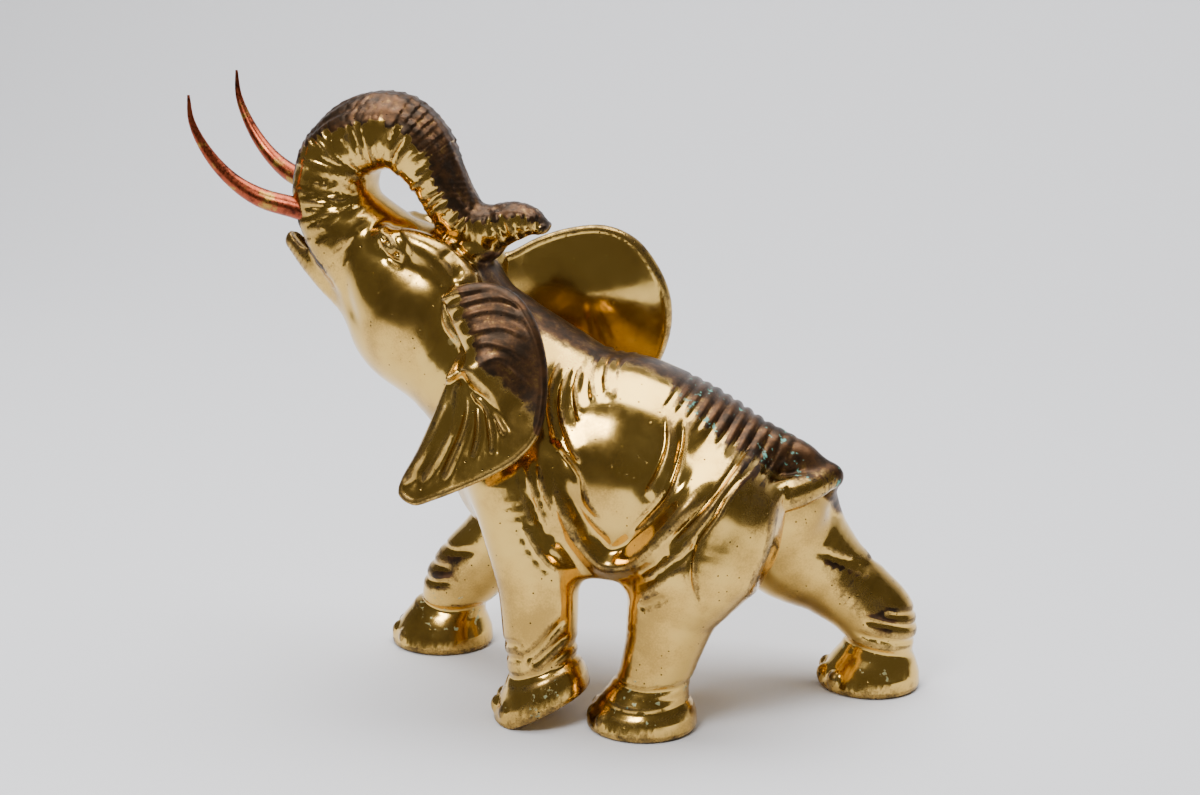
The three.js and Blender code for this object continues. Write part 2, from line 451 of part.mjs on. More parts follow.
// ---------------------------------------------------------------- thinning
// Quadric edge collapse: the cheapest edges go first, and the surface stays closed and unfolded.
function thin({ points, faces }, target) {
  const P = points.map((p) => p.slice()), F = faces.map((f) => f.slice());
  const ring = P.map(() => new Set());
  const Q = P.map(() => new Float64Array(10));
  const normal = ([a, b, c]) => {
    const u = [0, 1, 2].map((k) => P[b][k] - P[a][k]), v = [0, 1, 2].map((k) => P[c][k] - P[a][k]);
    return [u[1] * v[2] - u[2] * v[1], u[2] * v[0] - u[0] * v[2], u[0] * v[1] - u[1] * v[0]];
  };
  F.forEach((f, i) => {
    const n = normal(f), area = Math.hypot(...n) || 1e-12;
    const [a, b, c] = n.map((v) => v / area);
    const d = -(a * P[f[0]][0] + b * P[f[0]][1] + c * P[f[0]][2]);
    const q = [a * a, a * b, a * c, a * d, b * b, b * c, b * d, c * c, c * d, d * d];
    for (const v of f) {
      ring[v].add(i);
      for (let k = 0; k < 10; k++) Q[v][k] += q[k] * area;
    }
  });
  const error = (q, [x, y, z]) =>
    q[0] * x * x + q[4] * y * y + q[7] * z * z + q[9] +
    2 * (q[1] * x * y + q[2] * x * z + q[5] * y * z + q[3] * x + q[6] * y + q[8] * z);
  const best = (a, b) => {
    const q = Q[a].map((v, k) => v + Q[b][k]);
    const mid = P[a].map((v, k) => (v + P[b][k]) / 2);
    const w = 1e-3 * (q[0] + q[4] + q[7]); // a light pull to the middle keeps flat places well shaped
    const [A, B, C, D, E, G] = [q[0] + w, q[1], q[2], q[4] + w, q[5], q[7] + w];
    const [r, s, t] = [w * mid[0] - q[3], w * mid[1] - q[6], w * mid[2] - q[8]];
    const det = A * (D * G - E * E) - B * (B * G - E * C) + C * (B * E - D * C);
    const spot = [
      (r * (D * G - E * E) - B * (s * G - E * t) + C * (s * E - D * t)) / det,
      (A * (s * G - E * t) - r * (B * G - E * C) + C * (B * t - s * C)) / det,
      (A * (D * t - s * E) - B * (B * t - s * C) + r * (B * E - D * C)) / det,
    ];
    const span = Math.hypot(...P[a].map((v, k) => v - P[b][k]));
    const p = Math.hypot(...spot.map((v, k) => v - mid[k])) < 2 * span ? spot : mid;
    return { p, cost: Math.max(error(q, p), 0) + 1e-4 * span * span };
  };
  const heap = [], age = P.map(() => 0), gone = P.map(() => false);
  const sift = (i) => {
    for (let up = (i - 1) >> 1; i > 0 && heap[up].cost > heap[i].cost; i = up, up = (i - 1) >> 1)
      [heap[up], heap[i]] = [heap[i], heap[up]];
  };
  const push = (a, b) => sift(heap.push({ a, b, ages: age[a] + age[b], ...best(a, b) }) - 1);
  const pop = () => {
    const top = heap[0], last = heap.pop();
    if (heap.length) {
      heap[0] = last;
      for (let i = 0; ; ) {
        let low = i;
        for (const c of [2 * i + 1, 2 * i + 2]) if (c < heap.length && heap[c].cost < heap[low].cost) low = c;
        if (low === i) break;
        [heap[low], heap[i]] = [heap[i], heap[low]];
        i = low;
      }
    }
    return top;
  };
  const around = (v) => new Set([...ring[v]].flatMap((f) => F[f]).filter((n) => n !== v));
  const folds = (v, other, p) =>
    [...ring[v]].some((f) => {
      if (F[f].includes(other)) return false;
      const before = normal(F[f]), keep = P[v];
      P[v] = p;
      const after = normal(F[f]);
      P[v] = keep;
      const dot = before[0] * after[0] + before[1] * after[1] + before[2] * after[2];
      return dot < 0.3 * Math.hypot(...before) * Math.hypot(...after);
    });
  for (const f of F) for (let k = 0; k < 3; k++) if (f[k] < f[(k + 1) % 3]) push(f[k], f[(k + 1) % 3]);
  let left = F.length;
  while (left > target && heap.length) {
    const { a, b, ages, p } = pop();
    if (gone[a] || gone[b] || ages !== age[a] + age[b]) continue;
    const near = around(b);
    if ([...around(a)].filter((v) => near.has(v)).length !== 2 || folds(a, b, p) || folds(b, a, p)) continue;
    for (const f of ring[b]) {
      if (F[f].includes(a)) {
        for (const v of F[f]) ring[v].delete(f);
        left--;
      } else {
        F[f][F[f].indexOf(b)] = a;
        ring[a].add(f);
      }
    }
    P[a] = p;
    for (let k = 0; k < 10; k++) Q[a][k] += Q[b][k];
    gone[b] = true;
    age[a]++;
    for (const v of around(a)) push(a, v);
  }
  const live = F.filter((f, i) => ring[f[0]].has(i));
  const index = new Map();
  for (const f of live) for (const v of f) if (!index.has(v)) index.set(v, index.size);
  return { points: [...index.keys()].map((v) => P[v]), faces: live.map((f) => f.map((v) => index.get(v))) };
}

// ---------------------------------------------------------------- tusks
// A horn along stations [x, y, z, radius], closed by a flat base and a pointed tip.
function horn(stations, grow = 0, rings = 16, sides = 10) {
  const path = new THREE.CatmullRomCurve3(stations.map(([x, y, z]) => new THREE.Vector3(x, y, z)));
  const size = new THREE.CatmullRomCurve3(stations.map((s) => new THREE.Vector3(s[3], 0, 0)));
  const frames = path.computeFrenetFrames(rings, false);
  const points = [], faces = [];
  for (let i = 0; i < rings; i++) {
    const c = path.getPointAt(i / rings), r = size.getPointAt(i / rings).x + grow;
    for (let j = 0; j < sides; j++) {
      const a = (j / sides) * 2 * Math.PI;
      const p = c.clone().addScaledVector(frames.normals[i], r * Math.cos(a));
      points.push(p.addScaledVector(frames.binormals[i], r * Math.sin(a)).toArray());
    }
  }
  const start = points.push(path.getPointAt(0).toArray()) - 1;
  const tip = points.push(path.getPointAt(1).toArray()) - 1;
  for (let j = 0; j < sides; j++) {
    const k = (j + 1) % sides, last = (rings - 1) * sides;
    faces.push([start, k, j], [tip, last + j, last + k]);
    for (let i = 0; i + 1 < rings; i++) {
      const a = i * sides + j, b = i * sides + k;
      faces.push([a, b, b + sides], [a, b + sides, a + sides]);
    }
  }
  return { points, faces };
}
const TUSK = [
  [-152, 15, 254, 5.8], [-164, 17.5, 258, 5.7], [-182, 21, 263, 5.2], [-196, 24.5, 272, 4], [-208, 27.5, 286, 3],
  [-216, 29.5, 303, 1.8], [-217, 30, 317, 0.7],
];
const FAR_TUSK_RISE = 6;
const leftTusk = TUSK.map(([x, y, z, r]) => [x, -y, z, r]);
const rightTusk = TUSK.map(([x, y, z, r]) => [x, y, z + FAR_TUSK_RISE, r]);

// ---------------------------------------------------------------- assembly
function toManifold({ points, faces }) {
  return new wasm.Manifold(new wasm.Mesh({
    numProp: 3,
    vertProperties: new Float32Array(points.flat()),
    triVerts: new Uint32Array(faces.flat()),
  }));
}
function toGeometry({ points, faces }) {
  return new THREE.BufferGeometry()
    .setAttribute("position", new THREE.Float32BufferAttribute(points.flat(), 3))
    .setIndex(faces.flat());
}
function fromManifold(solid) {
  const m = solid.getMesh();
  return new THREE.BufferGeometry()
    .setAttribute("position", new THREE.BufferAttribute(new Float32Array(m.vertProperties), 3))
    .setIndex(new THREE.BufferAttribute(new Uint32Array(m.triVerts), 1));
}

const ground = new THREE.BoxGeometry(600, 400, 20).translate(0, 0, -10);
ground.deleteAttribute("normal");
ground.deleteAttribute("uv");
const groundMesh = mergeVertices(ground);
const groundSolid = new wasm.Manifold(new wasm.Mesh({
  numProp: 3,
  vertProperties: groundMesh.attributes.position.array,
  triVerts: new Uint32Array(groundMesh.index.array),
}));
const rough = polygonise(casting, [-190, -100, -2 * SINK], [175, 100, 330], GRID);
const cast = toManifold(thin(rough, BODY_TRIANGLES))
  .subtract(groundSolid)
  .subtract(toManifold(horn(leftTusk, FIT)))
  .subtract(toManifold(horn(rightTusk, FIT)));

const bronze = new THREE.MeshStandardMaterial({ color: 0xb8923c, metalness: 1, roughness: 0.22 });
const copper = new THREE.MeshStandardMaterial({ color: 0x9a4a30, metalness: 1, roughness: 0.32 });
const figure = new THREE.Group();
function add(name, geometry, material) {
  const mesh = new THREE.Mesh(geometry, material);
  mesh.name = name;
  geometry.computeVertexNormals();
  figure.add(mesh);
}
add("elephant_body", fromManifold(cast), bronze);
add("tusk_left", toGeometry(horn(leftTusk)), copper);
add("tusk_right", toGeometry(horn(rightTusk)), copper);

// The figure is drawn around its own middle plane; this puts the origin under the middle of its box.
const bounds = new THREE.Box3().setFromObject(figure);
const middle = bounds.getCenter(new THREE.Vector3());
figure.position.set(-middle.x, -middle.y, -bounds.min.z);
const elephant = new THREE.Group();
elephant.add(figure);

export default elephant;
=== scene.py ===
# A cast bronze elephant with copper tusks, striding on its four feet.
# The casting is one implicit form: swept limbs and ellipsoids melted together, then carved by folds and ribs.
# It is meshed on a fine grid, thinned where it is smooth, and finished with polished and patinated metal.
import math
import bpy
import numpy as np
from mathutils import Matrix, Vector


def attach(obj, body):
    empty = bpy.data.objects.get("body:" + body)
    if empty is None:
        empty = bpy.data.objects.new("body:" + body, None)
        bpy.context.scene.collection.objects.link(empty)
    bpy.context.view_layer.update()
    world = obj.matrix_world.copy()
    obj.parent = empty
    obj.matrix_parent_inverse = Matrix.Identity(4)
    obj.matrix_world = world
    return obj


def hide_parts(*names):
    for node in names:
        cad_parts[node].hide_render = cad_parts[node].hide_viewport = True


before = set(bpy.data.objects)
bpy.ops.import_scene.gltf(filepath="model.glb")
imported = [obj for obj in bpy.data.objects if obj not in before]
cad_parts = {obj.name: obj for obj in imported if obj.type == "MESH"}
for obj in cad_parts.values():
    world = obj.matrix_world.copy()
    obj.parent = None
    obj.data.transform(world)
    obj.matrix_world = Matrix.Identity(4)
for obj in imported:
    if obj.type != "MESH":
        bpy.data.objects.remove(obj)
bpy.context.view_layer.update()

# ---------------------------------------------------------------- sizes, in millimetres
SHIFT = (27.03, 4.55, 0.0)  # from the figure's own middle plane to the frame
STEP = 1.0                  # spacing of the fine grid
FACES = 190000              # triangles kept in the casting
BEND_REACH = 2.2            # how far apart the surface is felt to tell a hollow from a swell


# ---------------------------------------------------------------- scalar helpers
def melt(a, b, k):
    """Union of two distances, melted together over a width of about k."""
    h = np.maximum(k - np.abs(a - b), 0) / k
    return np.minimum(a, b) - h * h * k / 4


def trim(a, b, k):
    """Intersection of two distances with a rounded edge."""
    return -melt(-a, -b, k)


def smooth(lo, hi, v):
    """0 up to lo, 1 from hi, and an even rise between them."""
    t = np.clip((v - lo) / (hi - lo), 0, 1)
    return t * t * (3 - 2 * t)


def hill(u, v, ru, rv):
    """A round hill, 1 at its top, of radii ru and rv."""
    return np.exp(-(u / ru) ** 2 - (v / rv) ** 2)


def spline(stations, count, closed=False):
    """count + 1 points (count if closed) along a centripetal Catmull-Rom curve."""
    pts = np.array(stations, dtype=float)
    if pts.ndim == 1:
        pts = pts[:, None]
    n = len(pts)
    out = []
    for step in range(count if closed else count + 1):
        p = (n if closed else n - 1) * step / count
        i = int(p)
        w = p - i
        if not closed and i == n - 1:
            i, w = n - 2, 1.0
        a = pts[(i - 1) % n] if closed or i > 0 else 2 * pts[0] - pts[1]
        b, c = pts[i % n], pts[(i + 1) % n]
        d = pts[(i + 2) % n] if closed or i + 2 < n else 2 * pts[n - 1] - pts[n - 2]
        t0, t1, t2 = [np.linalg.norm(v - u) ** 0.5 for u, v in ((a, b), (b, c), (c, d))]
        t1 = t1 if t1 > 1e-4 else 1.0
        t0 = t0 if t0 > 1e-4 else t1
        t2 = t2 if t2 > 1e-4 else t1
        m1 = ((b - a) / t0 - (c - a) / (t0 + t1) + (c - b) / t1) * t1
        m2 = ((c - b) / t1 - (d - b) / (t1 + t2) + (d - c) / t2) * t1
        out.append(b + m1 * w + (3 * c - 3 * b - 2 * m1 - m2) * w * w + (2 * b - 2 * c + m1 + m2) * w ** 3)
    return np.array(out)


# ---------------------------------------------------------------- solids as distances
# Each maker returns a function of arrays x, y, z.
FAR = 60.0


def inside(box, reach, x, y, z):
    """Where points lie in a box of (low, high) grown by reach. An axis given as None is open."""
    keep = np.ones(x.shape, bool)
    for v, lo, hi in zip((x, y, z), *box):
        if lo is not None:
            keep &= (v > lo - reach) & (v < hi + reach)
    return keep


def only(box, reach, far, shape):
    """shape, worked out only inside its box."""
    def d(x, y, z):
        out = np.full(x.shape, far, x.dtype)
        keep = inside(box, reach, x, y, z)
        if keep.any():
            out[keep] = shape(x[keep], y[keep], z[keep])
        return out
    return d


def ellipsoid(c, r, pitch=0):
    """An ellipsoid whose +X end is raised by pitch degrees."""
    co, si = math.cos(math.radians(pitch)), math.sin(math.radians(pitch))
    rx, ry, rz = r

    def d(x, y, z):
        dx, dy, dz = x - c[0], y - c[1], z - c[2]
        u, w = co * dx + si * dz, co * dz - si * dx
        a = np.sqrt((u / rx) ** 2 + (dy / ry) ** 2 + (w / rz) ** 2)
        b = np.sqrt((u / rx ** 2) ** 2 + (dy / ry ** 2) ** 2 + (w / rz ** 2) ** 2)
        return np.where(b < 1e-9, -min(r), a * (a - 1) / np.maximum(b, 1e-9))
    return d


def limb(stations, steps=5):
    """A limb through stations (x, y, z, radius)."""
    n = (len(stations) - 1) * steps
    p = spline([s[:3] for s in stations], n)
    r = spline([s[3] for s in stations], n)[:, 0]

    def d(x, y, z):
        best = np.full(x.shape, 1e3, x.dtype)
        for a, b, ra, rb in zip(p[:-1], p[1:], r[:-1], r[1:]):
            e = b - a
            wx, wy, wz = x - a[0], y - a[1], z - a[2]
            t = np.clip((wx * e[0] + wy * e[1] + wz * e[2]) / (e @ e), 0, 1)
            gap = np.sqrt((wx - t * e[0]) ** 2 + (wy - t * e[1]) ** 2 + (wz - t * e[2]) ** 2) - (ra + (rb - ra) * t)
            best = np.minimum(best, gap)
        return best
    return only((p.min(0), p.max(0)), r.max() + 26, FAR, d)


# A foot: a bell with a flat sole, its top leaning back by lean; pitch lifts its heel.
BELL = [(-8, 29.5), (3, 29.5), (9, 28), (16, 24.5), (22, 20.5), (27, 18.5), (34, 17.5)]


def foot(c, size, lean, pitch=0):
    co, si = math.cos(math.radians(pitch)), math.sin(math.radians(pitch))
    h, r = zip(*BELL)

    def d(x, y, z):
        dx, dz = x - c[0], z - c[2]
        w = co * dz - si * dx
        u = co * dx + si * dz - lean * np.clip(w, 0, 30)
        wall = (np.sqrt(u ** 2 + ((y - c[1]) / 0.93) ** 2) - size * np.interp(w, h, r)) * 0.85
        return trim(trim(wall, -w, 2.5), w - 30, 6)
    low = [c[0] - 34, c[1] - 30, -9]
    high = [c[0] + 40, c[1] + 30, 40]
    return only((low, high), 24, FAR, d)


# ---------------------------------------------------------------- torso
TORSO = [
    (ellipsoid((8, 0, 127), (60, 57, 59)), 0),
    (ellipsoid((-42, 0, 138), (43, 50, 58)), 16),
    (ellipsoid((40, 0, 124), (38, 50, 50)), 10),
    (ellipsoid((58, 0, 113), (36, 47, 46)), 10),
    (ellipsoid((69, -25, 108), (32, 28, 40)), 8),
    (limb([(56, 0, 141, 26), (74, 0, 139, 20), (90, 0, 138, 14), (104, 0, 136, 9)]), 12),
    (limb([(-40, 0, 158, 44), (-66, 0, 177, 42), (-92, 0, 197, 38)]), 14),
    (ellipsoid((16, 0, 84), (34, 26, 19)), 12),
    (limb([(-8, -37, 95, 13), (10, -39, 88, 12), (28, -38, 88, 12), (46, -37, 98, 13)]), 9),
    (limb([(-8, 37, 95, 13), (10, 39, 88, 12), (28, 38, 88, 12), (46, 37, 98, 13)]), 9),
    (ellipsoid((82, 26, 105), (33, 26, 35)), 4),
]

# ---------------------------------------------------------------- head
cheek = ellipsoid((-100, 0, 203), (42, 37, 43))
cranium = ellipsoid((-86, 0, 212), (27, 34, 27))
face = limb([(-104, 0, 213, 34), (-123, 0, 231, 27), (-140, 0, 247, 23)])
jaw = limb([(-122, 0, 206, 20), (-145, 0, 215, 12), (-160, 0, 227, 9.5), (-172, 0, 237, 6)])
mouth = ellipsoid((-163, 0, 238), (16, 7.5, 6.5), -42)
HEAD_BUMPS = []
for side in (-1, 1):
    HEAD_BUMPS += [
        (limb([(-112, side * 22, 246, 6), (-97, side * 23, 243, 8), (-82, side * 23, 236, 9),
               (-70, side * 24, 225, 9)]), 7),
        (ellipsoid((-106.6, side * 29.6, 242.4), (4.8, 3.2, 2.4), -42), 1),
    ]
HEAD_BUMPS.append((ellipsoid((-70, 0, 238), (14, 13, 7)), 5))

# ---------------------------------------------------------------- legs
LEGS = [
    limb([(-34, -40, 126, 27), (-28, -44, 100, 24), (-23, -46, 72, 21), (-22, -46, 46, 19.5), (-21, -46, 30, 18.5)]),
    limb([(64, -34, 112, 32), (60, -41, 92, 31), (50, -43, 70, 24.5), (44, -44, 46, 20), (38, -44, 24, 18)]),
    limb([(-42, 34, 112, 28), (-60, 42, 80, 24), (-77, 43, 60, 21.5), (-91, 43, 45, 21), (-99, 43, 34, 19.5),
          (-101, 43, 24, 17)]),
    limb([(72, 34, 108, 33), (90, 42, 80, 32), (112, 45, 62, 23.5), (131, 45, 48, 20.5), (141, 45, 37, 20.5),
          (141, 45, 24, 17.5)]),
]
FEET = [
    foot((-22, -46, 4), 0.98, 0.5, 27),
    foot((32, -44, 0), 0.98, 0.16),
    foot((-109, 43, 0), 0.98, 0.16),
    foot((136, 45, 0), 0.93, 0.16),
]
NAIL_ANGLES = (52, 20, -12, -44)  # from straight ahead, towards the left side
NAILS = []
for cx, cy in ((-20, -46), (32, -44), (-109, 43), (136, 45)):
    for angle in NAIL_ANGLES:
        a = math.radians(angle)
        at = (cx - 24 * math.cos(a), cy - 22.5 * math.sin(a), 6.5)
        NAILS.append(only((at, at), 12, FAR, ellipsoid(at, (4.5, 4.5, 5.5))))

# ---------------------------------------------------------------- trunk
# Stations along the trunk: x, z, half thickness, half width.
TRUNK = [
    (-113.5, 218.5, 24, 28), (-137, 238.5, 21.5, 27), (-148.5, 259, 20, 25), (-147.5, 275, 21.5, 24),
    (-142, 288, 19.7, 23), (-128, 297, 20.7, 22), (-113, 298.5, 20, 21), (-101, 291, 18, 19.5),
    (-90.5, 276, 14.5, 17.5), (-82.5, 261.5, 13.5, 15.5), (-73.5, 252, 12.5, 13.5), (-62, 250, 12, 12),
    (-51, 253.5, 10.5, 11), (-42, 254.5, 7.5, 9.5), (-34, 252, 4, 6.5),
]
RIB_SPACING = 4.8
RIB_DEPTH = 0.6


def swept_trunk(back=False):
    """The distance to the trunk or, for back, how far a point is past the crease that bounds its back."""
    n = (len(TRUNK) - 1) * 5
    line = spline([t[:2] for t in TRUNK], n)
    size = spline([(t[2], t[3]) for t in TRUNK], n)
    run = np.concatenate([[0], np.cumsum(np.linalg.norm(np.diff(line, axis=0), axis=1))])

    def s_of(at, share):
        return run[at] + (run[at + 1] - run[at]) * share

    def d(x, y, z):
        best = np.full(x.shape, 1e3, x.dtype)
        at = np.zeros(x.shape, np.int32)
        share = np.zeros(x.shape, x.dtype)
        for i in range(n):
            a, e = line[i], line[i + 1] - line[i]
            wx, wz = x - a[0], z - a[1]
            t = np.clip((wx * e[0] + wz * e[1]) / (e @ e), 0, 1)
            gap = np.sqrt((wx - t * e[0]) ** 2 + y ** 2 + (wz - t * e[1]) ** 2)
            gap -= size[i, 0] + (size[i + 1, 0] - size[i, 0]) * t
            near = gap < best
            best = np.where(near, gap, best)
            at = np.where(near, i, at)
            share = np.where(near, t, share)
        a, e = line[at], line[at + 1] - line[at]
        e /= np.linalg.norm(e, axis=1)[:, None]
        foot_of = a + (line[at + 1] - a) * share[:, None]
        dx, dz = x - foot_of[:, 0], z - foot_of[:, 1]
        out = -e[:, 1] * dx + e[:, 0] * dz      # towards the outside of the curl
        along = e[:, 0] * dx + e[:, 1] * dz     # past either end
        thick = size[at, 0] + (size[at + 1, 0] - size[at, 0]) * share
        wide = size[at, 1] + (size[at + 1, 1] - size[at, 1]) * share
        flat = 2.5                              # above 2, the sides are flatter than an ellipse's
        level = np.abs(out / thick) ** flat + np.abs(y / wide) ** flat + np.abs(along / thick) ** flat
        tube = (level ** (1 / flat) - 1) * np.minimum(thick, wide)
        over = np.abs(y) / wide
        lip = 1.5 * smooth(0.62, 0.86, over) * smooth(24, 50, s_of(at, share))
        s = s_of(at, share)
        dome = out - (thick - y * y / ((3.4 - 1.9 * smooth(52, 108, s)) * wide) + lip)
        wander = s + 0.9 * np.sin(s / 5.3) + 0.7 * np.sin(out / 3.7 + s / 2.1)
        ribbed = smooth(16, 30, s) * smooth(0.35, 0.75, over) * (1 - 0.8 * hill(x + 74, z - 243, 12, 9))
        uneven = 0.75 + 0.35 * np.sin(s / 3.1 + out / 6)
        rib = RIB_DEPTH * ribbed * uneven * np.cos(2 * math.pi * wander / RIB_SPACING)
        rings = 0.3 * smooth(70, 95, s) * np.cos(2 * math.pi * (s + 0.45 * np.abs(y)) / 3.4)
        return dome if back else trim(tube + rib, dome * 0.85 + rings, 1.2)
    return only(((-180, -42, 190), (-20, 42, 325)), 8, FAR if not back else -FAR, d)


trunk = swept_trunk()
trunk_back = swept_trunk(back=True)

# ---------------------------------------------------------------- ears
EAR_THICK = 5
EAR_ROOT = 8


def ear(side, outline, stand, root, strokes):
    """A sheet over its (x, z) outline. stand gives how far it stands out sideways; near root it thickens."""
    poly = spline(outline, len(outline) * 5, closed=True)
    ends = np.roll(poly, -1, axis=0)

    def d(x, y, z):
        s = y * side
        gap = np.full(x.shape, 1e9, x.dtype)
        odd = np.zeros(x.shape, bool)
        for a, b in zip(poly, ends):
            e = b - a
            wx, wz = x - a[0], z - a[1]
            t = np.clip((wx * e[0] + wz * e[1]) / (e @ e), 0, 1)
            gap = np.minimum(gap, (wx - t * e[0]) ** 2 + (wz - t * e[1]) ** 2)
            if a[1] != b[1]:
                odd ^= ((a[1] > z) != (b[1] > z)) & (x < a[0] + (z - a[1]) / e[1] * e[0])
        edge = np.where(odd, -np.sqrt(gap), np.sqrt(gap))
        gx = stand(x + 0.5, z) - stand(x - 0.5, z)
        gz = stand(x, z + 0.5) - stand(x, z - 0.5)
        off = s - stand(x, z)
        thick = EAR_THICK + EAR_ROOT * hill(x - root[0], z - root[1], 17, 30)
        relief = np.where(off > -thick / 2, total(strokes, x, y, z), 0)
        rim = 0.9 * smooth(-4.5, -1.5, edge)
        sheet = np.abs(off) / np.sqrt(1 + gx ** 2 + gz ** 2) - thick / 2 - rim - relief
        return trim(sheet, edge, 4)
    lo, hi = poly.min(0), poly.max(0)
    wide = sorted((15 * side, 110 * side))
    return only(((lo[0], wide[0], lo[1]), (hi[0], wide[1], hi[1])), 14, FAR, d)


# ---------------------------------------------------------------- folds
def total(strokes, x, y, z):
    """The height of all the marks together."""
    out = np.zeros(x.shape, x.dtype)
    for mark in strokes:
        mark(out, x, y, z)
    return out


def marked(side, reach, stations, ends, profile):
    """A mark along (x, z) stations on one side of the animal (-1 left, 1 right, 0 both).

    profile gives its height from how far it has faded and from the distance off the line, which is positive towards
    +X where the line runs down.
    """
    n = (len(stations) - 1) * 4
    p = spline(stations, n)
    lo, hi = p.min(0), p.max(0)

    def mark(out, x, y, z):
        keep = inside(((lo[0], None, lo[1]), (hi[0], None, hi[1])), reach, x, y, z)
        if side:
            keep &= y * side > 0
        if not keep.any():
            return
        px, py, pz = x[keep], y[keep], z[keep]
        best = np.full(px.shape, 1e9, px.dtype)
        place = np.zeros(px.shape, px.dtype)
        turn = np.zeros(px.shape, px.dtype)
        for i in range(n):
            a, e = p[i], p[i + 1] - p[i]
            wx, wz = px - a[0], pz - a[1]
            t = np.clip((wx * e[0] + wz * e[1]) / (e @ e), 0, 1)
            gap = (wx - t * e[0]) ** 2 + (wz - t * e[1]) ** 2
            near = gap < best
            best = np.where(near, gap, best)
            place = np.where(near, (i + t) / n, place)
            turn = np.where(near, e[0] * wz - e[1] * wx, turn)
        here = smooth(0, 12, py * side) if side else 1
        fade = smooth(0, ends, place) * smooth(0, ends, 1 - place) * here
        out[keep] += profile(fade, np.sqrt(best) * np.sign(turn))
    return mark


def stroke(side, width, height, stations, ends=0.22):
    """A fold between two shallow furrows (height above 0) or a groove (below 0)."""
    def profile(fade, off):
        q = np.abs(off) / width
        ridge = np.exp(-q * q)
        return fade * height * (ridge - 0.5 * np.exp(-((q - 1.8) ** 2) * 1.4) if height > 0 else ridge)
    return marked(side, 3 * width, stations, ends, profile)


def lap(side, width, height, stations, ends=0.22):
    """A fold of skin that bulges on one side of its line and ends in a crisp edge over a furrow on the other."""
    def profile(fade, off):
        under = -0.45 * height * np.exp(-((off + 1.6) / 1.5) ** 2)
        over = height * np.where(off > 0, np.exp(-(off / width) ** 2), np.exp(-(off / 0.9) ** 2))
        return fade * (over + under)
    return marked(side, 3 * width, stations, ends, profile)


# Each fold: width, height, (x, z) stations. Laps bulge to the right of their crisp edge as they run down.
LAPS = [
    (5, 2.0, [(-17, 190), (-18, 170), (-12, 150)]),
    (6, 2.2, [(-12, 188), (-12, 168), (-5, 152), (4, 141)]),
    (4, 1.4, [(-7, 187), (-6, 174), (0, 160)]),
    (6, 1.6, [(42, 167), (45, 152), (41, 138), (35, 127)]),
    (7, 2.4, [(50, 169), (53, 153), (52, 140), (49, 130), (40, 118), (24, 101)]),
    (6, 2.0, [(84, 150), (80, 141), (73, 130), (62, 117), (50, 104)]),
    (7, 2.3, [(89, 143), (80, 132), (75, 122), (69, 113), (66, 104), (66, 91), (69, 74)]),
]
FOLDS = [
    (2.2, 1.0, [(-1, 190), (1, 180), (6, 170)]),
    (2.2, 0.9, [(5, 190), (7, 181), (12, 172)]),
    (2.2, 0.8, [(11, 189), (12, 181), (16, 172)]),
    (4.4, 3.2, [(-24, 156), (-12, 131), (-4, 112), (4, 97), (13, 88), (24, 89), (38, 101), (51, 116), (63, 132),
                (73, 149)]),
    (2.2, -1.4, [(-20, 152), (0, 136), (4, 121), (15, 108)]),
    (2.2, -1.2, [(-8, 134), (1, 117), (8, 107), (18, 98)]),
    (2.2, -1.5, [(67, 114), (62, 104), (52, 96), (42, 87), (31, 78)]),
    (2, -1.1, [(53, 104), (46, 97), (34, 87)]),
    (2, -1.2, [(52, 82), (43, 76), (35, 70)]),
    (1.8, 1.5, [(-24, 142), (-18, 124), (-11, 103)]),
    (1.8, 1.5, [(-19, 142), (-14, 124), (-7, 99)]),
    (1.8, -1.2, [(-24, 130), (-18, 114), (-11, 97)]),
    (1.8, 1.0, [(-24, 112), (-17, 98), (-7, 84)]),
]
LEG_FOLDS = [
    (-1, 1.9, -1.3, [(-26, 36), (-17, 44), (-4, 62)]),
    (-1, 1.9, -1.2, [(-22, 33), (-13, 42), (-3, 52)]),
    (-1, 1.9, -1.1, [(-16, 31), (-8, 38), (-1, 45)]),
    (-1, 1.9, -1.2, [(-42, 40), (-33, 44), (-26, 45)]),
    (-1, 1.9, -1.2, [(-42, 33), (-33, 36), (-24, 37)]),
    (-1, 2.2, -1.6, [(-44, 24), (-32, 24), (-20, 28), (-6, 33), (4, 38)]),
    (-1, 1.8, -1.1, [(12, 27), (30, 25), (46, 26), (64, 29)]),
    (-1, 1.8, -1.0, [(6, 17), (26, 14), (48, 15), (68, 19)]),
    (1, 2, -1.6, [(-130, 58), (-112, 49), (-94, 51)]),
    (1, 2, -1.4, [(-130, 44), (-112, 40), (-92, 44)]),
    (1, 2, -1.2, [(-112, 60), (-97, 59), (-80, 63)]),
    (1, 2.4, -1.6, [(-130, 30), (-112, 25), (-98, 24), (-74, 27)]),
    (1, 1.9, -1.4, [(134, 44), (152, 40), (168, 34)]),
    (1, 1.9, -1.3, [(145, 47), (156, 44), (168, 40)]),
    (1, 1.9, -1.3, [(128, 36), (148, 32), (166, 27)]),
    (1, 1.8, -1.1, [(118, 27), (136, 26), (160, 21)]),
    (1, 1.9, -1.4, [(110, 83), (124, 74), (142, 66)]),
]
RIGHT_SIDE = 0.7  # how high the folds stand on the right side, against the left
SPINE = [(46, 181), (52, 178.5), (57.5, 175.5), (63, 172), (68.5, 168.5), (74, 164.5), (79.5, 160.5), (85, 156.5),
         (90.5, 152.5), (96, 148.5), (101.5, 145)]
BODY_STROKES = [stroke(-1, w, h, line) for w, h, line in FOLDS] + [lap(-1, w, h, line) for w, h, line in LAPS]
BODY_STROKES += [stroke(1, w, RIGHT_SIDE * h, line) for w, h, line in FOLDS]
